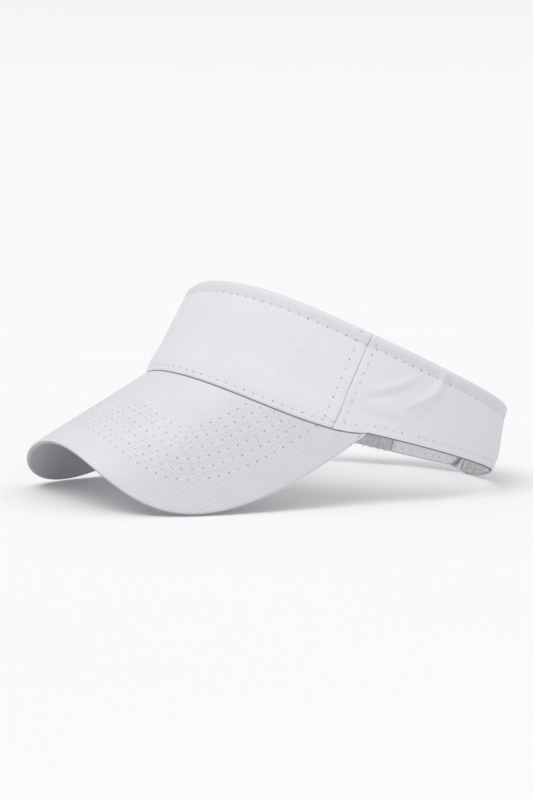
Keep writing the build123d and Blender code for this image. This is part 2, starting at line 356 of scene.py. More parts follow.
def stitch_run(points, normals):
    """A row of stitches along a line: short bowed threads whose ends sink into the cloth.
    Needle holes are at whole multiples of the pitch."""
    run = run_length(points)
    count = int(run[-1] / STITCH_PITCH)
    shares = np.array([STITCH_GAP, STITCH_GAP + 0.1, 0.35, 0.5, 0.65, 0.9 - STITCH_GAP,
                       1.0 - STITCH_GAP])
    sink = np.array([-1.8, -0.8, -0.25, -0.1, -0.25, -0.8, -1.8]) * THREAD_RADIUS
    girth = np.array([0.45, 0.85, 1.0, 1.0, 1.0, 0.85, 0.45]) * THREAD_RADIUS
    sides, stops = 6, len(shares)
    at = ((np.arange(count)[:, None] + shares[None, :]) * STITCH_PITCH).ravel()
    middle = interpolate(run, points, at)
    normal = unit(interpolate(run, normals, at))
    ahead, behind = interpolate(run, points, at + 0.2), interpolate(run, points, at - 0.2)
    tangent = unit(ahead - behind + 1e-9)
    side = unit(np.cross(tangent, normal))
    middle = middle + normal * np.tile(sink, count)[:, None]
    turn = np.arange(sides) * 2.0 * np.pi / sides
    ring = (side[:, None, :] * np.cos(turn)[None, :, None] * 1.25
            + normal[:, None, :] * np.sin(turn)[None, :, None] * 0.85)
    body = middle[:, None, :] + ring * np.tile(girth, count)[:, None, None]
    faces, values = [], []
    for stitch in range(count):
        base = stitch * stops
        for k in range(stops - 1):
            for s in range(sides):
                t = (s + 1) % sides
                a, b = (base + k) * sides, (base + k + 1) * sides
                faces.append([a + s, b + s, b + t, a + t])
                u0, u1 = at[base + k] * MM, at[base + k + 1] * MM
                v0, v1 = s / sides * MM, (s + 1) / sides * MM
                values.extend([(u0, v0), (u1, v0), (u1, v1), (u0, v1)])
        faces.append([base * sides + s for s in range(sides)])
        faces.append([(base + stops - 1) * sides + s for s in range(sides)][::-1])
        values.extend([(0.0, 0.0)] * (2 * sides))
    return body.reshape(-1, 3), faces, np.array(values).reshape(-1, 2)


def waviness(u, v, size, seed):
    """Soft irregular undulation between about -1 and 1, repeating nowhere near the part."""
    total = 0.0
    for k in range(4):
        lean = seed * 1.7 + k * 2.4
        scale = 2.0 * np.pi / (size * (1.0 + 0.43 * k))
        along = u * math.cos(lean) + v * math.sin(lean)
        total = total + np.sin(along * scale + seed * 3.1 * (k + 1))
    return total / 4.0


# ======== Strips of cloth that follow the band's wall ========
class Strip:
    """A cloth layer of the wall from one angle to another. Its shown face, outward (+1) or
    inward (-1), carries the relief; rows are stitch rows along it, at heights above its own
    lower edge, and seams are rows across it, at distances from its start. Negative ones are
    measured from the upper edge and from the end."""

    # Mesh rows beside each edge: their number, and the height that they take up.
    edge_rows, edge_zone, edge_share = 17, 9.0, 0.42
    # Columns round a rounded tip, and the least gap from close columns to regular ones.
    tip_columns, column_gap = 18, 0.3
    fold_turns = (45.0, 90.0, 135.0)

    def __init__(self, name, start, end, inset=level(0.0), thickness=CLOTH, low=level(0.0),
                 high=level(0.0), facing=1, relief=None, rows=(), seams=(), column=1.0,
                 row=0.8, rounded=False):
        self.name, self.start, self.end = name, start, end
        self.inset, self.thickness, self.low, self.high = inset, thickness, low, high
        self.facing, self.relief = facing, relief
        self.rows, self.seams = rows, seams
        self.column, self.row, self.rounded = column, row, rounded
        fine = np.linspace(start, end, 1201)
        self.fine_angle, self.fine_run = fine, run_length(lower_edge(fine))
        self.length = self.fine_run[-1]

    def run_at(self, angle):
        flip = 1 if self.end > self.start else -1
        return np.interp(angle * flip, self.fine_angle * flip, self.fine_run)

    def angle_at(self, run):
        return np.interp(run, self.fine_run, self.fine_angle)

    def span(self, angle):
        """Height of the strip itself."""
        return wall_height(angle) - self.low(angle) - self.high(angle)

    def columns(self):
        count = max(2, int(round(self.length / self.column)) + 1)
        runs = np.linspace(0.0, self.length, count)
        if self.relief is not None:
            beside = np.array(SEAM_COLUMNS)
            runs = runs[(runs == 0.0) | (runs > beside[-1] + self.column_gap)]
            runs = np.concatenate([runs[:1], beside, runs[1:]])
            if not self.rounded:
                last = self.length - beside[-1] - self.column_gap
                runs = runs[(runs == self.length) | (runs < last)]
                runs = np.concatenate([runs[:-1], self.length - beside[::-1], runs[-1:]])
        angles = self.angle_at(runs)
        if self.rounded:
            side = 1.0 if self.end > self.start else -1.0
            turn = np.linspace(0.0, np.pi / 2.0, self.tip_columns)
            end = self.end - side * TIP_ROUND_ANGLE * (1.0 - np.sin(turn))
            before = np.abs(angles - self.end) > TIP_ROUND_ANGLE + self.column_gap
            angles = np.concatenate([angles[before], end])
        return angles

    def lift(self, angle, height, span):
        """Relief of the shown face, outward from the cloth."""
        if self.relief is None:
            return 0.0 * height
        return self.relief(self.run_at(angle), height, span, self)

    def point(self, angle, height, depth, span):
        """depth runs from 0 at the outer face to the thickness at the inner face."""
        share = depth / self.thickness
        lift = self.lift(angle, height, span)
        if self.facing > 0:
            moved = depth - lift * (1.0 - (1.0 - THROUGH) * share)
        else:
            moved = depth + lift * share
        return wall_point(angle, self.low(angle) + height, self.inset(angle) + moved)

    def shown(self, angle, height):
        """Points and normals of the shown face."""
        depth = 0.0 if self.facing > 0 else self.thickness
        points = self.point(angle, height, depth + 0.0 * angle, self.span(angle))
        return points, -self.facing * inward(angle)

    def spot(self, run, height):
        """One point of the shown face, its normal, the way up and the way along."""
        at = np.array([float(self.angle_at(run))])
        point, normal = self.shown(at, np.array([height]))
        rise = wall_rise(at)[0]
        return point[0], normal[0], rise, np.cross(rise, normal[0])

    def heights(self, span):
        """Rows of the mesh: closely spaced beside both edges, at fixed distances from them."""
        fold = self.thickness / 2.0
        zone = np.minimum(self.edge_zone, self.edge_share * span)
        beside = np.linspace(0.0, 1.0, self.edge_rows)[None, :]
        count = max(3, int(np.max(span) / self.row) - self.edge_rows - 3)
        between = np.linspace(0.0, 1.0, count)[None, 1:-1]
        lower = fold + (zone - fold) * beside
        middle = zone + (span - 2.0 * zone) * between
        upper = span - fold - (zone - fold) * beside[:, ::-1]
        return np.concatenate([lower, middle, upper], axis=1)

    def build(self):
        angle = self.columns()[:, None]
        span = self.span(angle)
        outer = self.heights(span)
        fold = self.thickness / 2.0
        bend = np.radians(self.fold_turns)[None, :]
        over = span - fold + fold * np.sin(bend)
        under = fold - fold * np.sin(bend) + 0.0 * span
        height = np.concatenate([outer, over, outer[:, ::-1], under], axis=1)
        flat, turn = 0.0 * outer, fold * np.cos(bend) + 0.0 * span
        depth = np.concatenate([flat, fold - turn, flat + self.thickness, fold + turn], axis=1)
        rings = self.point(angle + 0.0 * height, height, depth, span)
        return tube(self.name, rings, self.maps(angle, height, depth, span, rings))

    def back_faces(self, obj, material):
        """Gives the hidden face and the lower fold of an inward strip another material, a dark one
        that paints the shade under its lower edge.
        """
        obj.data.materials.append(material)
        loop = len(obj.data.vertices) // len(self.columns())
        shown = loop // 2 - len(self.fold_turns)
        count = loop * (len(self.columns()) - 1)
        index = np.zeros(len(obj.data.polygons), dtype=np.int32)
        position = np.arange(count) % loop
        index[:count] = (position < shown) | (position >= loop - 2)
        obj.data.polygons.foreach_set("material_index", index)

    def maps(self, angle, height, depth, span, rings):
        run = self.run_at(angle) + 0.0 * height
        loop = np.linalg.norm(np.diff(rings, axis=1, append=rings[:, :1]), axis=-1)
        around = np.concatenate([np.zeros((len(angle), 1)), np.cumsum(loop, axis=1)], axis=1)
        row_run, row_off = self.nearest_row(angle[:, 0], height)
        maps = {"cloth": np.stack([wrap(run), around], axis=-1) * MM}
        for key, pair in (("edges", (span - height, height)), ("rows", (row_run, row_off)),
                          ("seams", (height, self.nearest_seam(run)))):
            maps[key] = wrap(np.stack(pair, axis=-1) * MM)
        return maps

    def row_height(self, row, angle):
        """A positive row is measured up from the lower edge, a negative one down from the top."""
        span = self.span(angle)
        return row + 0.0 * span if row > 0.0 else span + row

    def nearest_row(self, angle, height):
        best_run, best_off = 0.0 * height, 0.0 * height + FAR
        for row in self.rows:
            at = self.row_height(row, angle)
            run = run_length(wall_point(angle, self.low(angle) + at, self.inset(angle)))
            off = height - at[:, None]
            nearer = np.abs(off) < np.abs(best_off)
            best_run = np.where(nearer, run[:, None], best_run)
            best_off = np.where(nearer, off, best_off)
        return best_run, best_off

    def nearest_seam(self, run):
        best = 0.0 * run + FAR
        for seam in self.seams:
            off = run - self.seam_run(seam)
            best = np.where(np.abs(off) < np.abs(best), off, best)
        return best

    def seam_run(self, seam):
        return seam if seam > 0.0 else self.length + seam

    def threads(self, name):
        """All stitches of the strip's rows and seams, as one mesh."""
        parts = []
        for row in self.rows:
            angle = self.columns()
            height = self.row_height(row, angle)
            points, normals = self.shown(angle, height)
            parts.append(stitch_run(points, normals))
        for seam in self.seams:
            angle = self.angle_at(self.seam_run(seam))
            span = float(self.span(np.array([angle]))[0])
            height = np.arange(0.0, span - 0.3, 0.5)
            points, normals = self.shown(angle + 0.0 * height, height)
            parts.append(stitch_run(points, normals))
        return join_parts(name, parts)


def hem(height, span, row, rise=0.22, groove=0.10):
    """Relief of a turned hem: thicker between its edge and its stitch row."""
    edge = height if row > 0.0 else span - height
    at = abs(row)
    return rise * ease((at + 0.9 - edge) / 1.1) - groove * bell(edge - at, 0.8)


def top_hem(height, span):
    """Relief of the top hem: it rolls outward below the edge and slopes in to its stitches."""
    edge = span - height
    roll = 0.7 * ease(edge / 1.4) * ease((TOP_HEM + 0.5 - edge) / 4.6)
    step = 0.12 * ease((TOP_HEM + 0.9 - edge) / 0.9)
    return roll + step - 0.16 * bell(edge - TOP_HEM, 0.7)


def puckers(run):
    """Rise and fall of cloth along a stitch row: 1 at its needle holes, -1 between them."""
    return np.cos(2.0 * np.pi * run / STITCH_PITCH)


def seam_edge(off, height, row):
    """Relief beside a seam: the cloth turns in at the seam itself, over a soft ridge of seam
    allowance, and dips again at the stitch row beside it."""
    ridge = 0.12 * bell(off - row * 0.45, row * 0.35) * (1.0 + 0.4 * puckers(height))
    return ridge - 0.38 * bell(off, 0.28) - 0.07 * bell(off - row, 0.9)


def fold_ridge(run, height, line, width, rise):
    """Soft ridge (or valley, if rise is negative) along a bent line of three points, fading
    out towards both of its ends."""
    (x0, y0), (x1, y1), (x2, y2) = line
    share = np.linspace(0.0, 1.0, 25)
    total = 0.0 * run
    for x, y, s in zip(curve(x0, x1, x2, share), curve(y0, y1, y2, share), share):
        strength = math.sin(math.pi * min(1.0, 0.3 + 0.7 * s)) ** 0.7
        spot = bell(np.hypot(run - x, height - y), width) * strength
        total = np.maximum(total, spot)
    return total * rise


# ======== Relief of each strip ========
def front_relief(run, height, span, strip):
    side = np.minimum(run, strip.length - run)
    puff = 0.8 * bell(height - 9.0, 6.0) + 0.15 * bell(height - 6.0, 2.2)
    seat = -0.6 * bell(height, 1.0) - 0.14 * bell(height - TOPSTITCH, 0.9)
    pulls = 0.10 * puckers(run) * bell(height - TOPSTITCH - 1.4, 1.6)
    soft = 0.22 * waviness(run, height, 46.0, 1)
    return (puff + seat + pulls + soft + top_hem(height, span)
            + seam_edge(side, height, SEAM_ROW_FRONT))


# Soft folds of the wearer's left side panel, as (distance from the seam, height): three
# points of the line, width and rise.
LEFT_FOLDS = (
    (((47.5, 36.5), (49.0, 25.0), (29.0, 15.5)), 2.5, 1.7),
    (((52.5, 34.0), (53.5, 19.0), (40.0, 10.5)), 3.2, -1.05),
    (((29.0, 30.0), (21.0, 23.0), (8.0, 22.0)), 2.8, 0.95),
    (((29.0, 25.5), (21.0, 18.5), (8.0, 17.5)), 2.6, -0.75),
    (((22.0, 12.5), (32.0, 12.0), (43.0, 12.0)), 2.6, 0.5),
    (((4.5, 13.5), (15.0, 7.5), (31.0, 8.5)), 3.0, -0.75),
)


def left_relief(run, height, span, strip):
    shape = 0.25 * waviness(run, height, 38.0, 2) + 0.25
    shape = shape + 0.6 * bell(run - 36.0, 30.0) * bell(height - 20.0, 13.0)
    for line, width, rise in LEFT_FOLDS:
        shape = shape + fold_ridge(run, height, line, width, rise)
    shape = np.maximum(shape, -0.3 + 0.2 * shape)
    crimp = 0.5 * bell(run - 48.0, 2.0) * bell(height - span + TOP_HEM, 2.6)
    pulls = 0.08 * puckers(run) * bell(span - height - TOP_HEM - 1.4, 1.6)
    return (shape - crimp + pulls + top_hem(height, span) + hem(height, span, LOWER_HEM)
            + seam_edge(run, height, SEAM_ROW_SIDE))


def right_relief(run, height, span, strip):
    shape = 0.3 * waviness(run, height, 34.0, 3) + 0.2
    shape = shape * ease((strip.run_at(140.0) - run) / 20.0)
    return (shape + top_hem(height, span) + hem(height, span, LOWER_HEM)
            + seam_edge(run, height, SEAM_ROW_SIDE))


def band_relief(run, height, span, strip):
    """The sweatband: rolled edges, a stitched lower edge and a slight unevenness."""
    roll = 0.3 * bell(span - height - 1.6, 1.3) - 0.2 * bell(span - height - 3.4, 0.6)
    foot = -0.25 * bell(height - 2.4, 0.6) + 0.12 * bell(height - 4.2, 1.0)
    return roll + foot + 0.25 * waviness(run, height, 21.0, 4)


def crumple(run, height):
    """The gathered raw end of the sweatband, where the tail's lining laps over it."""
    creases = np.abs(waviness(run, height * 0.45, 9.0, 6)) ** 0.6
    return 1.0 * creases + 0.4 * waviness(run, height, 5.0, 7)


def right_band_relief(run, height, span, strip):
    gathered = crumple(run, height) * ease((run - strip.length + 12.0) / 9.0)
    return band_relief(run, height, span, strip) + gathered


def raw_relief(run, height, span, strip):
    """Crumpled raw cloth: sharp creases that wander across the strip."""
    creases = np.abs(waviness(run, height * 0.7, 6.0, 8)) ** 0.5
    creases = creases + np.abs(waviness(run * 0.8, height, 3.6, 9)) ** 0.7
    fade = ease(run / 3.0) * ease((strip.length - run) / 5.0)
    return (0.9 * creases - 0.3) * fade


def tape_relief(run, height, span, strip):
    return -0.12 * bell(height - 1.2, 0.4) + 0.08 * waviness(run, height, 12.0, 5)


def lining_relief(run, height, span, strip):
    return hem(height, span, -2.6, 0.15, 0.15) + hem(height, span, 2.6, 0.15, 0.15)


def label_relief(run, height, span, strip):
    return 0.25 * bell(height - 0.6 * span, 5.0) + 0.12 * bell(run - 4.0, 2.5)


# ======== Brim ========
class BrimGrid:
    """Lines over the brim from its outline to the band. Flat coordinates are distances on
    the brim laid out flat: across it, and along its straight lines."""

    # The grid stops this near the brim's corners, which are at share 1 and -1.
    last_share = 0.985
    columns, lines = 361, 97
    # Where its lines bend towards the seam, as a share of the brim's width there.
    knee_share = 0.4
    rim_share = 0.3
    table_turn, table_size, rim_samples = 1.45, 4001, 2001

    def __init__(self):
        self.stretch = math.sqrt(1.0 + BRIM_SLOPE ** 2)
        turn = np.linspace(-self.table_turn, self.table_turn, self.table_size)
        rate = np.hypot(BRIM_RADIUS_X * np.cos(turn), BRIM_RADIUS_Z * np.sin(turn) / self.stretch)
        across = np.concatenate([[0.0], np.cumsum((rate[1:] + rate[:-1]) / 2.0 * np.diff(turn))])
        self.turn_table, self.across_table = turn, across - across[len(across) // 2]
        fine = np.linspace(-self.last_share, self.last_share, self.rim_samples)
        rim_run = run_length(brim_point(*self.outline(fine)))
        share = np.interp(np.linspace(0.0, rim_run[-1], self.columns), rim_run, fine)
        self.rim = self.flatten(*self.outline(share))
        step = 0.0005
        ahead, behind = (self.flatten(*self.outline(share + k)) for k in (step, -step))
        tangent = unit(ahead - behind)
        self.root = self.flatten(*self.root_line(share))
        self.inner = np.stack([-tangent[:, 1], tangent[:, 0]], axis=-1)
        towards = np.sum(self.inner * (self.root - self.rim), axis=-1)
        self.inner *= np.where(towards < 0.0, -1.0, 1.0)[:, None]
        self.width = np.linalg.norm(self.root - self.rim, axis=-1)

    @staticmethod
    def outline(share):
        """Turn and reach of the outline: 0 in front, 1 and -1 at the corners."""
        s = np.abs(share)
        weights = ((1 - s) ** 3, 3 * s * (1 - s) ** 2, 3 * s * s * (1 - s), s ** 3)
        turns = (0.0, EDGE_HANDLE * CORNER_TURN, EDGE_SHOULDER * CORNER_TURN, CORNER_TURN)
        reaches = (BRIM_REACH, BRIM_REACH, EDGE_SHOULDER_REACH, CORNER_REACH)
        turn = sum(w * t for w, t in zip(weights, turns))
        reach = sum(w * r for w, r in zip(weights, reaches))
        return np.where(share < 0.0, -turn, turn), reach

    @staticmethod
    def root_line(share):
        """Turn and reach of the brim's seam with the band."""
        angle = -90.0 + (BRIM_CORNER + 90.0) * np.abs(share)
        x, y = lower_plan(angle)
        reach = -BAND_HALF_LENGTH - y
        return brim_turn_at(np.where(share < 0.0, -x, x), reach), reach

    def drop(self, turn):
        """How far along its straight lines the brim's arch sets a point back."""
        return BRIM_SLOPE * BRIM_RADIUS_Z * (1.0 - np.cos(turn)) / self.stretch

    def flatten(self, turn, reach):
        across = np.interp(turn, self.turn_table, self.across_table)
        return np.stack([across, reach * self.stretch + self.drop(turn)], axis=-1)

    def unflatten(self, flat):
        turn = np.interp(flat[..., 0], self.across_table, self.turn_table)
        return turn, (flat[..., 1] - self.drop(turn)) / self.stretch

    def flat_at(self, distance):
        """Flat coordinates at a distance from the outline, columns x rows. The lines leave
        the outline at a right angle and bend towards the seam."""
        share = np.clip(distance / self.width[:, None], 0.0, 1.0)[..., None]
        rim, root = self.rim[:, None, :], self.root[:, None, :]
        knee = rim + self.inner[:, None, :] * (self.knee_share * self.width)[:, None, None]
        return curve(rim, knee, root, share)

    def rim_centre(self):
        """Distance of the middle of the rounded rim from the outline."""
        return np.minimum(BRIM_THICKNESS / 2.0, self.rim_share * self.width)[:, None]

    def distances(self):
        """Distances of the grid's rows from the outline, from the rounded rim to the seam."""
        start = self.rim_centre()
        share = np.linspace(0.0, 1.0, self.lines)[None, :]
        return start + (self.width[:, None] - start) * share


def brim_row_lines(grid):
    """The brim's stitch rows in flat coordinates: lines inside the outline, rounded where it
    turns, which end at the band's seam."""
    samples, tolerance, run_over, seam_clearance = 1201, 0.05, 20.0, 1.5
    share = np.linspace(-1.0, 1.0, samples)
    outline = grid.flatten(*grid.outline(share))
    seam = grid.flatten(*grid.root_line(share))
    tangent = unit(np.gradient(outline, axis=0))
    inner = np.stack([tangent[:, 1], -tangent[:, 0]], axis=-1)
    lines = []
    for k in range(BRIM_ROW_COUNT):
        at = BRIM_ROW_FIRST + BRIM_ROW_STEP * k
        offset = outline + inner * at
        nearest = np.array([np.min(np.linalg.norm(outline - point, axis=-1)) for point in offset])
        above_seam = offset[:, 1] - np.interp(offset[:, 0], seam[:, 0], seam[:, 1])
        kept = offset[(nearest > at - tolerance) & (above_seam > -run_over)]
        run = run_length(kept)
        line = interpolate(run, kept, np.arange(0.0, run[-1], ROW_SAMPLE))
        line = soften(line, ROW_ROUNDING / ROW_SAMPLE)
        above_seam = line[:, 1] - np.interp(line[:, 0], seam[:, 0], seam[:, 1])
        lines.append(line[above_seam > seam_clearance])
    return lines


def soften(line, width):
    """The line with its corners rounded off by a Gaussian average along it."""
    reach = int(3.0 * width)
    weights = bell(np.arange(-reach, reach + 1), width * math.sqrt(2.0))
    weights /= weights.sum()
    before = 2.0 * line[0] - line[reach:0:-1]
    after = 2.0 * line[-1] - line[-2:-reach - 2:-1]
    padded = np.concatenate([before, line, after])
    return np.stack([np.convolve(padded[:, k], weights, mode="valid") for k in range(2)], axis=-1)


def nearest_on_lines(grid, lines, flat):
    """Distance along the nearest stitch row and off it, for every flat point."""
    points, chunks = flat.reshape(-1, 2), 60
    samples, tangents, runs = [], [], []
    for line in lines:
        on_brim = brim_point(*grid.unflatten(line))
        samples.append(line)
        tangents.append(unit(np.gradient(line, axis=0)))
        runs.append(run_length(on_brim))
    samples, tangents, runs = (np.concatenate(part) for part in (samples, tangents, runs))
    best_run, best_off = [], []
    for chunk in np.array_split(points, chunks):
        gap = chunk[:, None, :] - samples[None, :, :]
        pick = np.argmin(np.einsum("ijk,ijk->ij", gap, gap), axis=1)
        offset = gap[np.arange(len(chunk)), pick]
        tangent = tangents[pick]
        along = np.sum(offset * tangent, axis=-1)
        across = offset[:, 0] * tangent[:, 1] - offset[:, 1] * tangent[:, 0]
        beyond = np.abs(along) > 2.0 * ROW_SAMPLE
        best_run.append(runs[pick] + along)
        best_off.append(np.where(beyond, FAR, across))
    shape = flat.shape[:-1]
    return np.concatenate(best_run).reshape(shape), np.concatenate(best_off).reshape(shape)


def brim_relief(off, to_seam, run):
    """Quilting of the brim between its stitch rows, and the dip at the band's seam."""
    pulls = 0.03 * puckers(run) * bell(np.abs(off) - 1.2, 1.0)
    return pulls - 0.11 * bell(off, 1.0) - 0.25 * bell(to_seam, 1.2)


def rim_arc(grid, radius, turns):
    """Distance and depth of points round the brim's rounded rim, columns x turns."""
    centre, half = grid.rim_centre(), BRIM_THICKNESS / 2.0
    turn = np.radians(turns)[None, :]
    distance = centre - radius * (centre / half) * np.sin(turn)
    return distance, half - radius * np.cos(turn) + 0.0 * centre


def brim_tube(name, grid, distance, face_depth, back_depth, relief, turns, row_maps):
    """One cover of the brim. Its shown face is at face_depth and turns round the rim through
    the given turns; its hidden face is at back_depth."""
    outer_radius, inner_radius = BRIM_THICKNESS / 2.0, BRIM_THICKNESS / 2.0 - BRIM_CLOTH
    coarse_step, lip_turn = 6, 9.0
    coarse = distance[:, ::coarse_step]
    shown = distance[:, ::-1]
    arc_out = rim_arc(grid, outer_radius, turns[1:])
    past_end = turns[-1] + np.sign(turns[-1] - turns[0]) * lip_turn
    lip = rim_arc(grid, (outer_radius + inner_radius) / 2.0, [past_end])
    arc_in = rim_arc(grid, inner_radius, turns[::-1])
    ways = [shown, arc_out[0], lip[0], arc_in[0], coarse[:, 1:]]
    depths = [face_depth + 0.0 * shown - relief[:, ::-1], arc_out[1], lip[1], arc_in[1],
              back_depth + 0.0 * coarse[:, 1:]]
    way, depth = np.concatenate(ways, axis=1), np.concatenate(depths, axis=1)
    away = np.maximum(way, 0.0)
    flat = grid.flat_at(away)
    flat = flat + grid.inner[:, None, :] * (way - away)[..., None]
    turn, reach = grid.unflatten(flat)
    rings = brim_point(turn, reach) - brim_normal(turn, reach) * depth[..., None]
    off_rim = np.concatenate([0.0 * a + FAR for a in ways[1:]], axis=1)
    row_run = np.concatenate([row_maps[0][:, ::-1], 0.0 * off_rim], axis=1)
    row_off = np.concatenate([row_maps[1][:, ::-1], off_rim], axis=1)
    rows = np.stack([row_run, row_off], axis=-1) * MM
    around = np.where(depth > BRIM_THICKNESS / 2.0, -1.0, 1.0)[..., None]
    cloth = flat * np.concatenate([np.ones_like(around), around], axis=-1) * MM
    maps = {"cloth": wrap(cloth), "rows": wrap(rows)}
    maps["seams"] = np.full(maps["rows"].shape, FAR * MM)
    return tube(name, rings, maps)


def brim_threads(name, grid, lines, depth, outward):
    parts = []
    for line in lines:
        turn, reach = grid.unflatten(line)
        normal = brim_normal(turn, reach)
        parts.append(stitch_run(brim_point(turn, reach) - normal * depth, normal * outward))
    return join_parts(name, parts)


# ======== Materials ========
def linear(red, green, blue):
    """Linear colour from screen values out of 255."""
    def convert(value):
        share = value / 255.0
        return share / 12.92 if share <= 0.04045 else ((share + 0.055) / 1.055) ** 2.4
    return convert(red), convert(green), convert(blue), 1.0


class Value:
    """Output of a shader node, which a formula can add, subtract, multiply and divide."""

    def __init__(self, shader, socket):
        self.shader, self.socket = shader, socket

    def __add__(self, other):
        return self.shader.math("ADD", self, other)

    def __sub__(self, other):
        return self.shader.math("SUBTRACT", self, other)

    def __rsub__(self, other):
        return self.shader.math("SUBTRACT", other, self)

    def __mul__(self, other):
        return self.shader.math("MULTIPLY", self, other)

    def __truediv__(self, other):
        return self.shader.math("DIVIDE", self, other)


class Shader:
    """Small helper that adds nodes to a material."""

    def __init__(self, name, roughness, sheen=0.0, sheen_roughness=0.5, specular=0.3):
        self.material = bpy.data.materials.new(name)
        self.material.use_nodes = True
        self.tree = self.material.node_tree
        self.surface = self.tree.nodes["Principled BSDF"]
        self.surface.inputs["Roughness"].default_value = roughness
        self.surface.inputs["Sheen Weight"].default_value = sheen
        self.surface.inputs["Sheen Roughness"].default_value = sheen_roughness
        self.surface.inputs["Specular IOR Level"].default_value = specular

    def node(self, kind, **values):
        node = self.tree.nodes.new(kind)
        for key, value in values.items():
            setattr(node, key, value)
        return node

    def put(self, value, socket):
        """Links a Value to a socket, or sets a constant on it."""
        if isinstance(value, Value):
            self.tree.links.new(value.socket, socket)
        else:
            socket.default_value = value

    def feed(self, node, **values):
        """Puts values on the node's sockets of these names."""
        for key, value in values.items():
            self.put(value, node.inputs[key.replace("_", " ")])

    def math(self, operation, *values):
        node = self.node("ShaderNodeMath", operation=operation)
        for value, socket in zip(values, node.inputs):
            self.put(value, socket)
        return Value(self, node.outputs[0])

    def object_point(self):
        return Value(self, self.node("ShaderNodeTexCoord").outputs["Object"])

    def map_xy(self, name):
        """Both coordinates of a UV map, and the map as a vector."""
        vector = Value(self, self.node("ShaderNodeUVMap", uv_map=name).outputs["UV"])
        split = self.node("ShaderNodeSeparateXYZ")
        self.feed(split, Vector=vector)
        return Value(self, split.outputs["X"]), Value(self, split.outputs["Y"]), vector

    def wave(self, value, pitch):
        """Cosine wave from 0 to 1 of the given pitch in metres."""
        return self.math("COSINE", value * (2.0 * math.pi / pitch)) * 0.5 + 0.5

    def ramp(self, value, start, end):
        """Smooth step from 0 at start to 1 at end."""
        node = self.node("ShaderNodeMapRange", interpolation_type="SMOOTHSTEP")
        rising = float(start < end)
        self.feed(node, Value=value, From_Min=min(start, end), From_Max=max(start, end),
                  To_Min=1.0 - rising, To_Max=rising)
        return Value(self, node.outputs["Result"])

    def noise(self, vector, scale, detail=3.0, roughness=0.55):
        node = self.node("ShaderNodeTexNoise")
        self.feed(node, Vector=vector, Scale=scale, Detail=detail, Roughness=roughness)
        return Value(self, node.outputs["Fac"])

    def mix(self, share, first, second):
        """Colour between two, each a Value or screen values out of 255."""
        node = self.node("ShaderNodeMix", data_type="RGBA")
        share_at, first_at, second_at, out_at = 0, 6, 7, 2
        self.put(share, node.inputs[share_at])
        for value, at in ((first, first_at), (second, second_at)):
            self.put(linear(*value) if isinstance(value, tuple) else value, node.inputs[at])
        return Value(self, node.outputs[out_at])

    def bump(self, height, distance, strength, normal=None):
        node = self.node("ShaderNodeBump")
        self.feed(node, Height=height, Distance=distance, Strength=strength)
        if normal is not None:
            self.feed(node, Normal=normal)
        return Value(self, node.outputs["Normal"])

    def finish(self, colour, normal):
        self.feed(self.surface, Base_Color=colour, Normal=normal)
        return self.material


def needle_holes(shader, map_name):
    """1 at the needle holes of the nearest stitch row and 0 elsewhere; it places the holes' painted
    shade and their dip.
    """
    along, off, _ = shader.map_xy(map_name)
    pitch = STITCH_PITCH * MM
    past = along - shader.math("ROUND", along / pitch) * pitch
    reach = shader.math("SQRT", past * past + off * off)
    share = shader.math("MAXIMUM", 1.0 - reach / (HOLE_RADIUS * MM), 0.0)
    return shader.math("SMOOTH_MIN", share, 1.0, 0.1)


def row_dip(shader, map_name):
    """1 on the stitch row and 0 away from it."""
    _, off, _ = shader.map_xy(map_name)
    return shader.math("MAXIMUM", 1.0 - shader.math("ABSOLUTE", off) / (ROW_DIP_WIDTH * MM), 0.0)


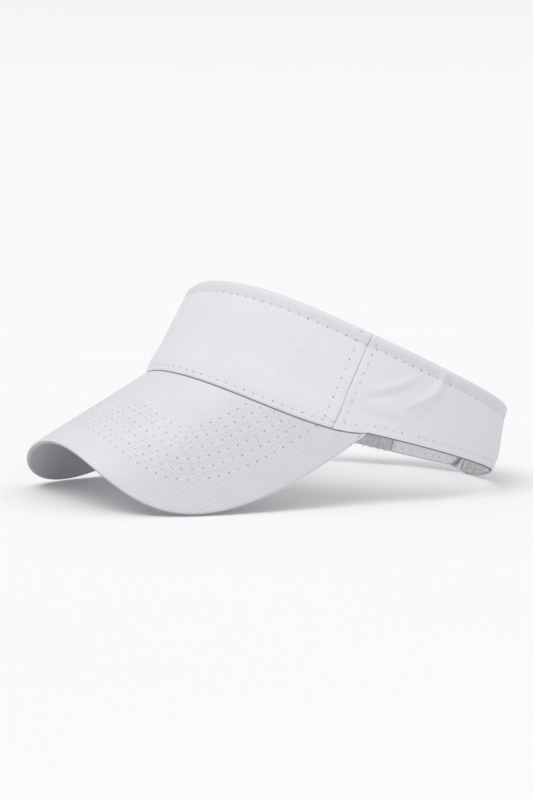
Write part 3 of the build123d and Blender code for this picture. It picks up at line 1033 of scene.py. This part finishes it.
def twill(name, light, dark, painted_shade_colour, pitch=0.95 * MM, lean=62.0, contrast=0.6, sheen=0.25,
          yarn_share=0.28, painted_side_shade=0.0, painted_hem_shade=0.0):
    """Cotton twill: steep diagonal ribs crossed by finer yarns, with a slight unevenness, and
    painted shade in the needle holes along the stitch rows. The brim's sides and the top hem
    get painted shade as well, by painted_side_shade and painted_hem_shade."""
    shader = Shader(name, 0.92, sheen, 0.6, 0.18)
    across, along, vector = shader.map_xy("cloth")
    drift = shader.noise(vector, 260.0, detail=2.0) * (0.35 * MM)
    side, rise = math.sin(math.radians(lean)), math.cos(math.radians(lean))
    rib_at = across * side - along * rise + drift
    yarn_at = across * rise + along * side
    rib = shader.wave(rib_at, pitch)
    yarn = shader.wave(yarn_at + rib_at * 0.5, pitch * 0.62)
    weave = rib * (1.0 - yarn_share) + yarn * yarn_share
    blotch = shader.noise(vector, 45.0, detail=4.0)
    fleck = shader.noise(vector, 1900.0, detail=2.0)
    colour = shader.mix(weave * contrast + blotch * 0.25 + fleck * 0.25, dark, light)
    normal = shader.bump(weave, 0.16 * MM, 0.55)
    normal = shader.bump(fleck, 0.05 * MM, 0.5, normal)
    # Painted shade: the brim's sides darken towards its edges, where less light reaches them.
    if painted_side_shade > 0.0:
        aside = shader.ramp(shader.math("ABSOLUTE", across), 36.0 * MM, 72.0 * MM)
        colour = shader.mix(aside * painted_side_shade, colour, painted_shade_colour)
    # Painted shade on the top hem, darkest between its rolled edge and its stitch row.
    if painted_hem_shade > 0.0:
        below, _, _ = shader.map_xy("edges")
        inner = shader.ramp(below, 0.6 * MM, 3.4 * MM)
        outer = shader.ramp(below, (TOP_HEM + 0.5) * MM, (TOP_HEM - 0.1) * MM)
        colour = shader.mix(inner * outer * painted_hem_shade, colour, painted_shade_colour)
    # Painted shade in the needle holes, patchy along the rows; the same mask sinks them in the
    # bump.
    spots = shader.math("MAXIMUM", needle_holes(shader, "rows"), needle_holes(shader, "seams"))
    patchy = shader.noise(vector, 150.0, detail=1.0) * 3.2 - 1.0
    patchy = shader.math("MINIMUM", shader.math("MAXIMUM", patchy, 0.12), 1.0)
    colour = shader.mix(spots * patchy, colour, painted_shade_colour)
    dips = shader.math("MAXIMUM", row_dip(shader, "rows"), row_dip(shader, "seams"))
    sunk = spots * -1.0 - dips * 0.1
    return shader.finish(colour, shader.bump(sunk, 0.5 * MM, 0.8, normal))


def thread_material():
    """Spun sewing thread: two plies that wind round each other."""
    shader = Shader("sewing_thread", 0.7, 0.3, 0.4)
    along, around, vector = shader.map_xy("cloth")
    ply = shader.wave(along + around * 0.5, 0.5 * MM)
    fuzz = shader.noise(vector, 4000.0, detail=2.0)
    normal = shader.bump(ply, 0.08 * MM, 0.7)
    colour = shader.mix(ply, (202, 203, 209), (227, 228, 232))
    return shader.finish(colour, shader.bump(fuzz, 0.03 * MM, 0.5, normal))


def plain_weave(name, light, dark, pitch, depth, roughness=0.9, sheen=0.2, gap=None):
    """Plain weave of crossing yarns; gap is the colour between yarns of an open weave."""
    shader = Shader(name, roughness, sheen, specular=0.2)
    across, along, vector = shader.map_xy("cloth")
    drift = shader.noise(vector, 180.0, detail=2.0) * (0.3 * pitch)
    u, v = across + drift, along + drift
    warp, weft = shader.wave(u, pitch), shader.wave(v, pitch)
    over = shader.wave(u + v, 2.0 * pitch)
    woven = warp * over + weft * (1.0 - over)
    speck = shader.noise(vector, 900.0)
    colour = shader.mix(woven * 0.7 + speck * 0.3, dark, light)
    if gap is not None:
        open_share = shader.math("MAXIMUM", 0.55 - shader.math("MAXIMUM", warp, weft), 0.0)
        colour = shader.mix(open_share * 1.6, colour, gap)
    normal = shader.bump(woven, depth, 0.7)
    return shader.finish(colour, shader.bump(speck, 0.04 * MM, 0.4, normal))


def herringbone(name, light, dark):
    """Cotton tape woven in a herringbone."""
    shader = Shader(name, 0.9, 0.2, specular=0.2)
    across, along, vector = shader.map_xy("cloth")
    zigzag = shader.math("PINGPONG", along, 2.0 * MM)
    rib = shader.wave(across + zigzag, 0.8 * MM)
    tone = rib * 0.65 + shader.noise(vector, 1200.0) * 0.35
    return shader.finish(shader.mix(tone, dark, light), shader.bump(tone, 0.15 * MM, 0.6))


def nap(name, light, dark, scale, depth, roughness):
    """Fuzzy or bristly ground of the hook and loop tapes and of raw cloth."""
    shader = Shader(name, roughness, 0.4)
    _, _, vector = shader.map_xy("cloth")
    fine = shader.noise(vector, scale, detail=5.0, roughness=0.7)
    broad = shader.noise(vector, scale / 14.0, detail=2.0)
    colour = shader.mix(fine * 0.8 + broad * 0.2, dark, light)
    return shader.finish(colour, shader.bump(fine, depth, 0.8))


def moulded_plastic():
    """Faintly grained plastic of the brim's board."""
    shader = Shader("brim_board_plastic", 0.45, specular=0.4)
    point = shader.object_point()
    grain, cloud = shader.noise(point, 900.0), shader.noise(point, 30.0, detail=2.0)
    colour = shader.mix(grain * 0.5 + cloud * 0.5, (205, 206, 208), (228, 229, 231))
    return shader.finish(colour, shader.bump(grain, 0.05 * MM, 0.4))


def floor_material():
    """Plain pale paper."""
    shader = Shader("pale_floor", 0.95, specular=0.05)
    cloud = shader.noise(shader.object_point(), 3.0, detail=2.0)
    colour = shader.mix(cloud, (243, 243, 244), (246, 246, 247))
    return shader.finish(colour, shader.bump(cloud, 0.1 * MM, 0.1))


# The outer twill carries painted shade along its top hem.
WHITE_TWILL = twill("white_cotton_twill", (224, 225, 230), (199, 200, 206), (113, 113, 121),
                    painted_hem_shade=0.10)
UNDER_TWILL = twill("brim_underside_twill", (185, 186, 191), (163, 163, 168), (91, 91, 94))
LINING_TWILL = twill("lining_twill", (210, 212, 216), (180, 181, 187), (112, 112, 117),
                     pitch=0.8 * MM, lean=50.0)
SWEATBAND_COTTON = twill("sweatband_cotton", (212, 214, 218), (183, 185, 191), (106, 106, 112),
                         pitch=1.3 * MM, lean=45.0, contrast=0.7, sheen=0.4)
# Dark grey weave that paints shade: on the sweatband's hidden face and lower fold, and on the
# brim's seam allowance.
PAINTED_SHADE_WEAVE = plain_weave("painted_shade_weave", (142, 143, 147), (106, 107, 112),
                                pitch=0.7 * MM, depth=0.1 * MM)
# Raw cloth mottled dark: painted shade of deep creases and folds.
RAW_COTTON_PAINTED_SHADE = nap("raw_cotton_painted_shade", (216, 216, 219), (118, 117, 119), scale=420.0,
                 depth=1.0 * MM, roughness=0.95)
# The brim's twill carries painted shade on its sides.
BRIM_TWILL = twill("brim_twill", (227, 228, 232), (174, 175, 181), (106, 106, 113),
                   pitch=1.05 * MM, contrast=0.85, yarn_share=0.42, painted_side_shade=0.17)
THREAD = thread_material()
BUCKRAM = plain_weave("buckram_mesh", (225, 226, 229), (202, 203, 207), pitch=1.3 * MM,
                      depth=0.25 * MM, roughness=0.7, sheen=0.1, gap=(176, 177, 180))
COTTON_TAPE = herringbone("cotton_tape", (223, 224, 228), (191, 192, 198))
HOOK_TAPE = nap("hook_tape", (219, 220, 223), (178, 179, 183), scale=1400.0, depth=0.3 * MM,
                roughness=0.5)
LOOP_TAPE = nap("loop_tape", (225, 226, 230), (189, 190, 196), scale=900.0, depth=0.6 * MM,
                roughness=0.95)
LABEL_RIBBON = plain_weave("label_ribbon", (232, 233, 236), (214, 215, 220), pitch=0.35 * MM,
                           depth=0.05 * MM, roughness=0.5, sheen=0.3)


def paint(obj, material):
    obj.data.materials.clear()
    obj.data.materials.append(material)
    return obj


# ======== Pieces ========
# The right seam's angle, counted from the front panel and from the right side.
RIGHT_SEAM = -180.0 - SEAM
RIGHT_START = 360.0 + RIGHT_SEAM
# Gaps at the side seams: of the cloth, in degrees, and of the layers behind it.
SEAM_GAP, LINING_GAP = 0.03, 0.1
# Where the sweatband's raw ends lie, on both sides of the closure.
RAW_JOIN, LEFT_RAW_END = (139.5, 123.0), (62.5, 87.0)
RAW_JOIN_HEIGHT, LEFT_RAW_HEIGHT, RAW_THICKNESS = 12.0, 10.0, 0.5


def follow(obj, body, slot_name, *nodes):
    """obj rides on a body, or, for the flap's and the tail's bends, stays where it is."""
    if body == "flap_bend":
        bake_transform(obj)
    elif body == "tail_bend":
        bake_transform(obj)
    else:
        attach(obj, body)
    if nodes:
        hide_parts(*nodes)


def add_strip(name, start, end, material, body, slot_name, nodes=(), stitching=None,
              shade_backing=None, **shape):
    """Adds a strip of cloth, and its stitches as a piece of their own if that has a name."""
    strip = Strip(name, start, end, **shape)
    # Hidden faces in a dark weave, painted shade under the strip's lower edge.
    obj = paint(strip.build(), material)
    if shade_backing is not None:
        strip.back_faces(obj, shade_backing)
    follow(obj, body, slot_name, *nodes)
    if stitching:
        follow(paint(strip.threads(stitching), THREAD), body, slot_name)
    return strip


def make_outer_cloth():
    """The twill that shows on the outside of the band, from the flap's tip to the tail's."""
    add_strip("front_panel_cloth", RIGHT_SEAM + SEAM_GAP, SEAM - SEAM_GAP, WHITE_TWILL,
              "visor_body", "white_twill", ["front_panel"], "front_panel_stitching",
              high=top_trim, relief=front_relief, rows=(TOPSTITCH, -TOP_HEM),
              seams=(SEAM_ROW_FRONT, -SEAM_ROW_FRONT))
    side = {"rows": (LOWER_HEM, -TOP_HEM), "seams": (SEAM_ROW_SIDE, -END_ROW), "rounded": True}
    add_strip("left_side_cloth", SEAM + SEAM_GAP, FLAP_END, WHITE_TWILL, "flap_bend",
              "white_twill", ["left_side_panel", "flap_panel"], "left_side_stitching",
              low=lambda a: closure_low(a) + tip(a, FLAP_END), high=lambda a: tip(a, FLAP_END),
              relief=left_relief, **side)
    add_strip("right_side_cloth", RIGHT_START - SEAM_GAP, TAIL_END, WHITE_TWILL, "tail_bend",
              "white_twill", ["right_side_panel_front", "right_side_panel"],
              "right_side_stitching", inset=tail_path, low=tail_low,
              high=lambda a: tip(a, TAIL_END), relief=right_relief, **side)


def make_linings():
    """The layers behind the twill: buckram, seam tapes, sweatband, top tape and label."""
    behind_cloth = level(CLOTH + LAYER_GAP)
    add_strip("front_buckram", RIGHT_SEAM + STIFFENER_MARGIN, SEAM - STIFFENER_MARGIN, BUCKRAM,
              "visor_body", "buckram", ["front_stiffener"], inset=behind_cloth,
              thickness=STIFFENER, low=level(1.0), high=lambda a: top_trim(a) + 1.0, facing=-1,
              column=2.0, row=2.0)
    for side, middle in (("left", SEAM), ("right", RIGHT_SEAM)):
        binding = side + "_seam_binding"
        add_strip(binding, middle - SEAM_TAPE_HALF, middle + SEAM_TAPE_HALF, COTTON_TAPE,
                  "visor_body", "cotton_tape", [side + "_seam_tape"], binding + "_stitching",
                  inset=behind_cloth, thickness=TAPE, low=level(0.5), high=level(0.5),
                  facing=-1, column=0.8, row=1.5, seams=PATCH_ROWS)

    # The edge of the brim's covers, sewn in behind the foot of the front panel. Its dark material
    # is painted shade along the seam of the brim and the band.
    add_strip("brim_seam_allowance", -180.0 - BRIM_CORNER + 2.0, BRIM_CORNER - 2.0,
              PAINTED_SHADE_WEAVE, "visor_body", "white_twill", inset=level(0.15), thickness=1.0,
              low=level(-1.4), high=wall_less(0.4))

    band = {"thickness": SWEATBAND, "high": wall_less(SWEATBAND_HEIGHT), "facing": -1,
            "rows": BAND_ROWS, "seams": (-3.0,), "shade_backing": PAINTED_SHADE_WEAVE}
    add_strip("front_left_sweatband", RIGHT_SEAM + LINING_GAP, LEFT_SWEATBAND_END, SWEATBAND_COTTON,
              "visor_body", "sweatband_cotton", ["sweatband"], "front_left_sweatband_stitching",
              inset=lining_inset, low=level(-0.5), relief=band_relief, column=1.2, **band)
    add_strip("right_sweatband_cloth", RIGHT_START - LINING_GAP, TAIL_SWEATBAND_END,
              SWEATBAND_COTTON, "tail_bend", "sweatband_cotton", ["right_sweatband"],
              "right_sweatband_stitching",
              inset=tail_lining_path, low=lambda a: tail_low(a) + 0.4,
              relief=right_band_relief, column=0.9, **band)

    top_tape = {"thickness": TAPE, "low": wall_less(FACING_HEIGHT), "facing": -1,
                "relief": tape_relief, "rows": (1.2,), "column": 1.2}
    add_strip("front_left_top_tape", RIGHT_SEAM + LINING_GAP, FLAP_CUT - 3.0, COTTON_TAPE,
              "visor_body", "cotton_tape", ["top_facing"], "front_left_top_tape_stitching",
              inset=lining_inset, high=lambda a: top_trim(a) + 0.2, **top_tape)
    add_strip("right_top_tape", RIGHT_START - LINING_GAP, TAIL_SWEATBAND_END, COTTON_TAPE,
              "tail_bend", "cotton_tape", ["right_top_facing"], "right_top_tape_stitching",
              inset=tail_lining_path, high=level(0.2), **top_tape)

    add_strip("blank_care_label", *LABEL_ANGLES, LABEL_RIBBON, "visor_body", "label_ribbon",
              ["care_label"], "care_label_stitching",
              inset=lambda a: lining_inset(a) + SWEATBAND + LAYER_GAP + 0.3,
              thickness=LABEL_THICKNESS, low=level(3.0), high=wall_less(SWEATBAND_HEIGHT - 4.0),
              facing=-1, relief=label_relief, rows=(-1.5,), column=0.8)


def make_raw_ends():
    """Raw ends of the sweatband on both sides of the closure, mottled dark with painted shade of
    their deep creases.
    """
    raw = {"thickness": RAW_THICKNESS, "facing": -1, "relief": raw_relief,
           "column": 0.4, "row": 0.4}
    right = add_strip(
        "sweatband_raw_join", *RAW_JOIN, RAW_COTTON_PAINTED_SHADE, "right_tail", "sweatband_cotton",
        inset=lambda a: tail_lining_path(a) + SWEATBAND + 0.5,
        low=lambda a: tail_low(a) + 0.3 * np.sin(a * 2.1) + 0.2 * np.sin(a * 4.7),
        high=lambda a: wall_height(a) - RAW_JOIN_HEIGHT - 1.2 * np.sin(a * 1.3), **raw)
    fray = make_fray("sweatband_frayed_edge", right)
    follow(paint(fray, THREAD), "right_tail", "sweatband_cotton")
    add_strip(
        "left_sweatband_raw_end", *LEFT_RAW_END, RAW_COTTON_PAINTED_SHADE, "visor_body", "sweatband_cotton",
        stitching="left_raw_end_stitching", inset=level(CLOTH + 0.5),
        low=lambda a: closure_low(a) + 0.2 * np.sin(a * 2.3) + 0.2 * np.sin(a * 5.1),
        high=lambda a: wall_height(a) - LEFT_RAW_HEIGHT - 1.0 * np.sin(a * 1.7),
        rows=(1.6, 4.0, 6.4), **raw)


def make_closure():
    """Linings of the flap and the tail, and the hook and loop tapes between them."""
    lining = {"facing": -1, "relief": lining_relief, "rows": LINING_ROWS, "rounded": True}
    add_strip("flap_lining_cloth", FLAP_CUT + 0.4, FLAP_END - 0.2, LINING_TWILL,
              "closure_flap", "white_twill", ["flap_lining"], "flap_lining_stitching",
              inset=level(CLOTH + LAYER_GAP),
              low=lambda a: closure_low(a) + (tip(a, FLAP_END) + 0.3),
              high=lambda a: tip(a, FLAP_END) + 0.3, **lining)
    add_strip("tail_lining_cloth", TAIL_SWEATBAND_END - 1.0, TAIL_END + 0.2, LINING_TWILL,
              "right_tail", "white_twill", ["right_tail_lining"], "tail_lining_stitching",
              inset=tail_lining_path, low=lambda a: tail_low(a) + 0.3,
              high=lambda a: tip(a, TAIL_END) + 0.3, **lining)
    patch = {"thickness": PATCH_GROUND, "low": level(PATCH_MARGIN), "high": level(PATCH_MARGIN),
             "rows": PATCH_ROWS, "seams": PATCH_ROWS}
    hook = add_strip("hook_tape_base", FLAP_CUT + 10.0, FLAP_END - 4.0, HOOK_TAPE,
                     "closure_flap", "hook_tape", ["hook_patch"], "hook_tape_stitching",
                     inset=level(2.0 * (CLOTH + LAYER_GAP)), facing=-1, **patch)
    hooks = make_tufts("hook_tape_hooks", hook, hook_shape, spacing=1.7, leans=(-0.6, 0.6),
                       radius=0.07, seed=1)
    follow(paint(hooks, HOOK_TAPE), "closure_flap", "hook_tape")
    loop = add_strip("loop_tape_base", FLAP_END - 5.0, TAIL_END + 6.0, LOOP_TAPE, "right_tail",
                     "loop_tape", ["loop_patch"], "loop_tape_stitching",
                     inset=lambda a: tail_path(a) - LAYER_GAP - PATCH_GROUND, **patch)
    loops = make_tufts("loop_tape_loops", loop, loop_shape, spacing=1.25,
                       leans=(0.0, 2.0 * np.pi), radius=0.05, seed=2)
    follow(paint(loops, LOOP_TAPE), "right_tail", "loop_tape")


def hook_shape(size):
    """Side view of one hook: it rises and turns over."""
    turn = np.radians([0.0, 60.0, 120.0, 190.0])
    bend = np.stack([0.16 - 0.16 * np.cos(turn), 0.28 + 0.13 * np.sin(turn)], axis=-1)
    return np.concatenate([[[0.0, -0.1]], bend]) * size


def loop_shape(size):
    """Side view of one soft loop: an arch with both feet in the ground."""
    turn = np.radians([0.0, 40.0, 80.0, 120.0, 150.0, 180.0])
    return np.stack([0.35 - 0.35 * np.cos(turn), 0.42 * np.sin(turn) - 0.05], axis=-1) * size


def make_tufts(name, strip, shape, spacing, leans, radius, seed):
    """Hooks or loops standing on a strip, in slightly uneven rows. leans is the range of
    their direction from the strip's own."""
    random = np.random.default_rng(seed)
    margin = 1.9
    parts = []
    for run in np.arange(margin, strip.length - margin, spacing):
        span = float(strip.span(np.array([float(strip.angle_at(run))]))[0])
        for height in np.arange(margin, span - margin, spacing):
            point, normal, rise, along = strip.spot(run, height + random.uniform(-0.2, 0.2))
            lean = random.uniform(*leans)
            way = along * math.cos(lean) + rise * math.sin(lean)
            outline = shape(random.uniform(0.85, 1.1))
            path = point + way * outline[:, :1] + normal * outline[:, 1:]
            parts.append(wire(path, np.cross(way, normal), radius))
    return join_parts(name, parts)


def make_fray(name, strip):
    """Loose fibres along the lower edge of a raw strip."""
    random = np.random.default_rng(5)
    margin, spacing = 0.6, 0.28
    share = np.linspace(0.0, 1.0, 6)[:, None]
    parts = []
    for run in np.arange(margin, strip.length - margin, spacing):
        point, normal, rise, along = strip.spot(run, random.uniform(0.2, 1.2))
        way = unit(along * random.uniform(-0.9, 0.9) - rise * random.uniform(0.3, 1.0))
        length = random.uniform(0.8, 2.4)
        curl = normal * random.uniform(-0.5, 0.5) + along * random.uniform(-0.6, 0.6)
        path = point + way * share * length + curl * share ** 2 * length * 0.6
        parts.append(wire(path, unit(np.cross(way, normal)), 0.06))
    return join_parts(name, parts)


def wire(path, side, radius):
    """Thin three-sided wire along a path in a plane."""
    tangent = unit(np.gradient(path, axis=0))
    other = unit(np.cross(tangent, side))
    turn = np.arange(3) * 2.0 * np.pi / 3.0
    ring = side * np.cos(turn)[:, None] * radius
    lift = (np.sin(turn) * radius)[None, :, None]
    body = path[:, None, :] + ring[None] + other[:, None, :] * lift
    faces = [[k * 3 + s, (k + 1) * 3 + s, (k + 1) * 3 + (s + 1) % 3, k * 3 + (s + 1) % 3]
             for k in range(len(path) - 1) for s in range(3)]
    square = np.array([[0.0, 0.0], [1.0, 0.0], [1.0, 1.0], [0.0, 1.0]]) * MM
    values = np.concatenate([np.tile(square, (len(faces), 1)), np.zeros((6, 2))])
    last = (len(path) - 1) * 3
    faces += [[0, 1, 2], [last + 2, last + 1, last]]
    return body.reshape(-1, 3), faces, values


def make_brim():
    """The brim's two covers with their rows of stitches, and its board."""
    grid = BrimGrid()
    distance = grid.distances()
    lines = brim_row_lines(grid)
    row_run, row_off = nearest_on_lines(grid, lines, grid.flat_at(distance))
    relief = brim_relief(row_off, grid.width[:, None] - distance, row_run)
    relief = relief * ease(grid.width[:, None] / NARROW)
    rows = (row_run, row_off)
    top = brim_tube("brim_top_cloth", grid, distance, 0.0, BRIM_CLOTH, relief, TOP_TURNS, rows)
    under = brim_tube("brim_under_cloth", grid, distance, BRIM_THICKNESS,
                      BRIM_THICKNESS - BRIM_CLOTH, -0.8 * relief, UNDER_TURNS, rows)
    upper = brim_threads("brim_top_stitching", grid, lines, TOP_THREAD_DEPTH, 1.0)
    lower = brim_threads("brim_under_stitching", grid, lines,
                         BRIM_THICKNESS - UNDER_THREAD_DEPTH, -1.0)
    follow(paint(top, BRIM_TWILL), "visor_body", "white_twill", "brim_top_cover")
    follow(paint(under, UNDER_TWILL), "visor_body", "white_twill", "brim_under_cover")
    for threads in (upper, lower):
        follow(paint(threads, THREAD), "visor_body", "white_twill")
    paint(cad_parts["brim_board"], moulded_plastic())


# ======== Floor, light and camera ========
# Strength of the surroundings' light at the horizon and above.
HORIZON, SKY = 0.95, 0.7


def make_floor():
    size, height = 3.0, -0.0004
    mesh = bpy.data.meshes.new("floor")
    corners = [(x * size, y * size, height) for x, y in ((-1, -1), (1, -1), (1, 1), (-1, 1))]
    mesh.from_pydata(corners, [], [(0, 1, 2, 3)])
    floor = bpy.data.objects.new("floor", mesh)
    bpy.context.scene.collection.objects.link(floor)
    paint(floor, floor_material())


def direction(azimuth, elevation):
    """Unit vector from the object at this azimuth, from the front, and elevation."""
    turn, climb = math.radians(azimuth), math.radians(elevation)
    ahead = math.cos(climb)
    return Vector((math.sin(turn) * ahead, -math.cos(turn) * ahead, math.sin(climb)))


def make_light(name, azimuth, elevation, strength, softness):
    """Large distant soft light, placed as a camera would be, that faces the object."""
    data = bpy.data.lights.new(name, "SUN")
    data.energy = strength
    data.angle = math.radians(softness)
    lamp = bpy.data.objects.new(name, data)
    way = direction(azimuth, elevation)
    lamp.location = way * 2.0
    lamp.rotation_euler = way.to_track_quat("Z", "Y").to_euler()
    bpy.context.scene.collection.objects.link(lamp)


def make_world():
    """Pale surroundings: white at the horizon and a dimmer sky above."""
    world = bpy.data.worlds.new("studio")
    world.use_nodes = True
    tree = world.node_tree
    direction = tree.nodes.new("ShaderNodeTexCoord")
    split = tree.nodes.new("ShaderNodeSeparateXYZ")
    rise = tree.nodes.new("ShaderNodeMapRange")
    rise.interpolation_type = "SMOOTHSTEP"
    for socket, value in (("From Min", 0.06), ("From Max", 0.4),
                          ("To Min", HORIZON), ("To Max", SKY)):
        rise.inputs[socket].default_value = value
    tree.links.new(direction.outputs["Generated"], split.inputs[0])
    tree.links.new(split.outputs["Z"], rise.inputs["Value"])
    tree.links.new(rise.outputs["Result"], tree.nodes["Background"].inputs["Strength"])
    tree.nodes["Background"].inputs["Color"].default_value = (1.0, 1.0, 1.0, 1.0)
    bpy.context.scene.world = world


def make_camera():
    """The camera stands at the wearer's left, ahead of the band and a little above it."""
    azimuth, elevation, roll = 57.51, 4.903, 0.673
    distance, aim = 0.8634, Vector((-0.00277, -0.00558, 0.04425))
    turn, lean = math.radians(azimuth), math.radians(roll)
    back = direction(azimuth, elevation)
    level_right = Vector((math.cos(turn), math.sin(turn), 0.0))
    level_up = back.cross(level_right)
    right = level_right * math.cos(lean) + level_up * math.sin(lean)
    up = level_up * math.cos(lean) - level_right * math.sin(lean)
    data = bpy.data.cameras.new("camera")
    data.lens, data.sensor_width = 75.24, 36.0
    data.clip_start, data.clip_end = 0.01, 20.0
    camera = bpy.data.objects.new("camera", data)
    axes = Matrix((right, up, back)).transposed().to_4x4()
    camera.matrix_world = Matrix.Translation(aim + back * distance) @ axes
    bpy.context.scene.collection.objects.link(camera)
    bpy.context.scene.camera = camera


bpy.context.scene.view_settings.view_transform = "Standard"
make_camera()
make_world()
make_floor()
make_light("key", azimuth=22.0, elevation=55.0, strength=1.13, softness=40.0)
make_light("fill", azimuth=85.0, elevation=25.0, strength=0.34, softness=60.0)
make_outer_cloth()
make_linings()
make_raw_ends()
make_closure()
make_brim()
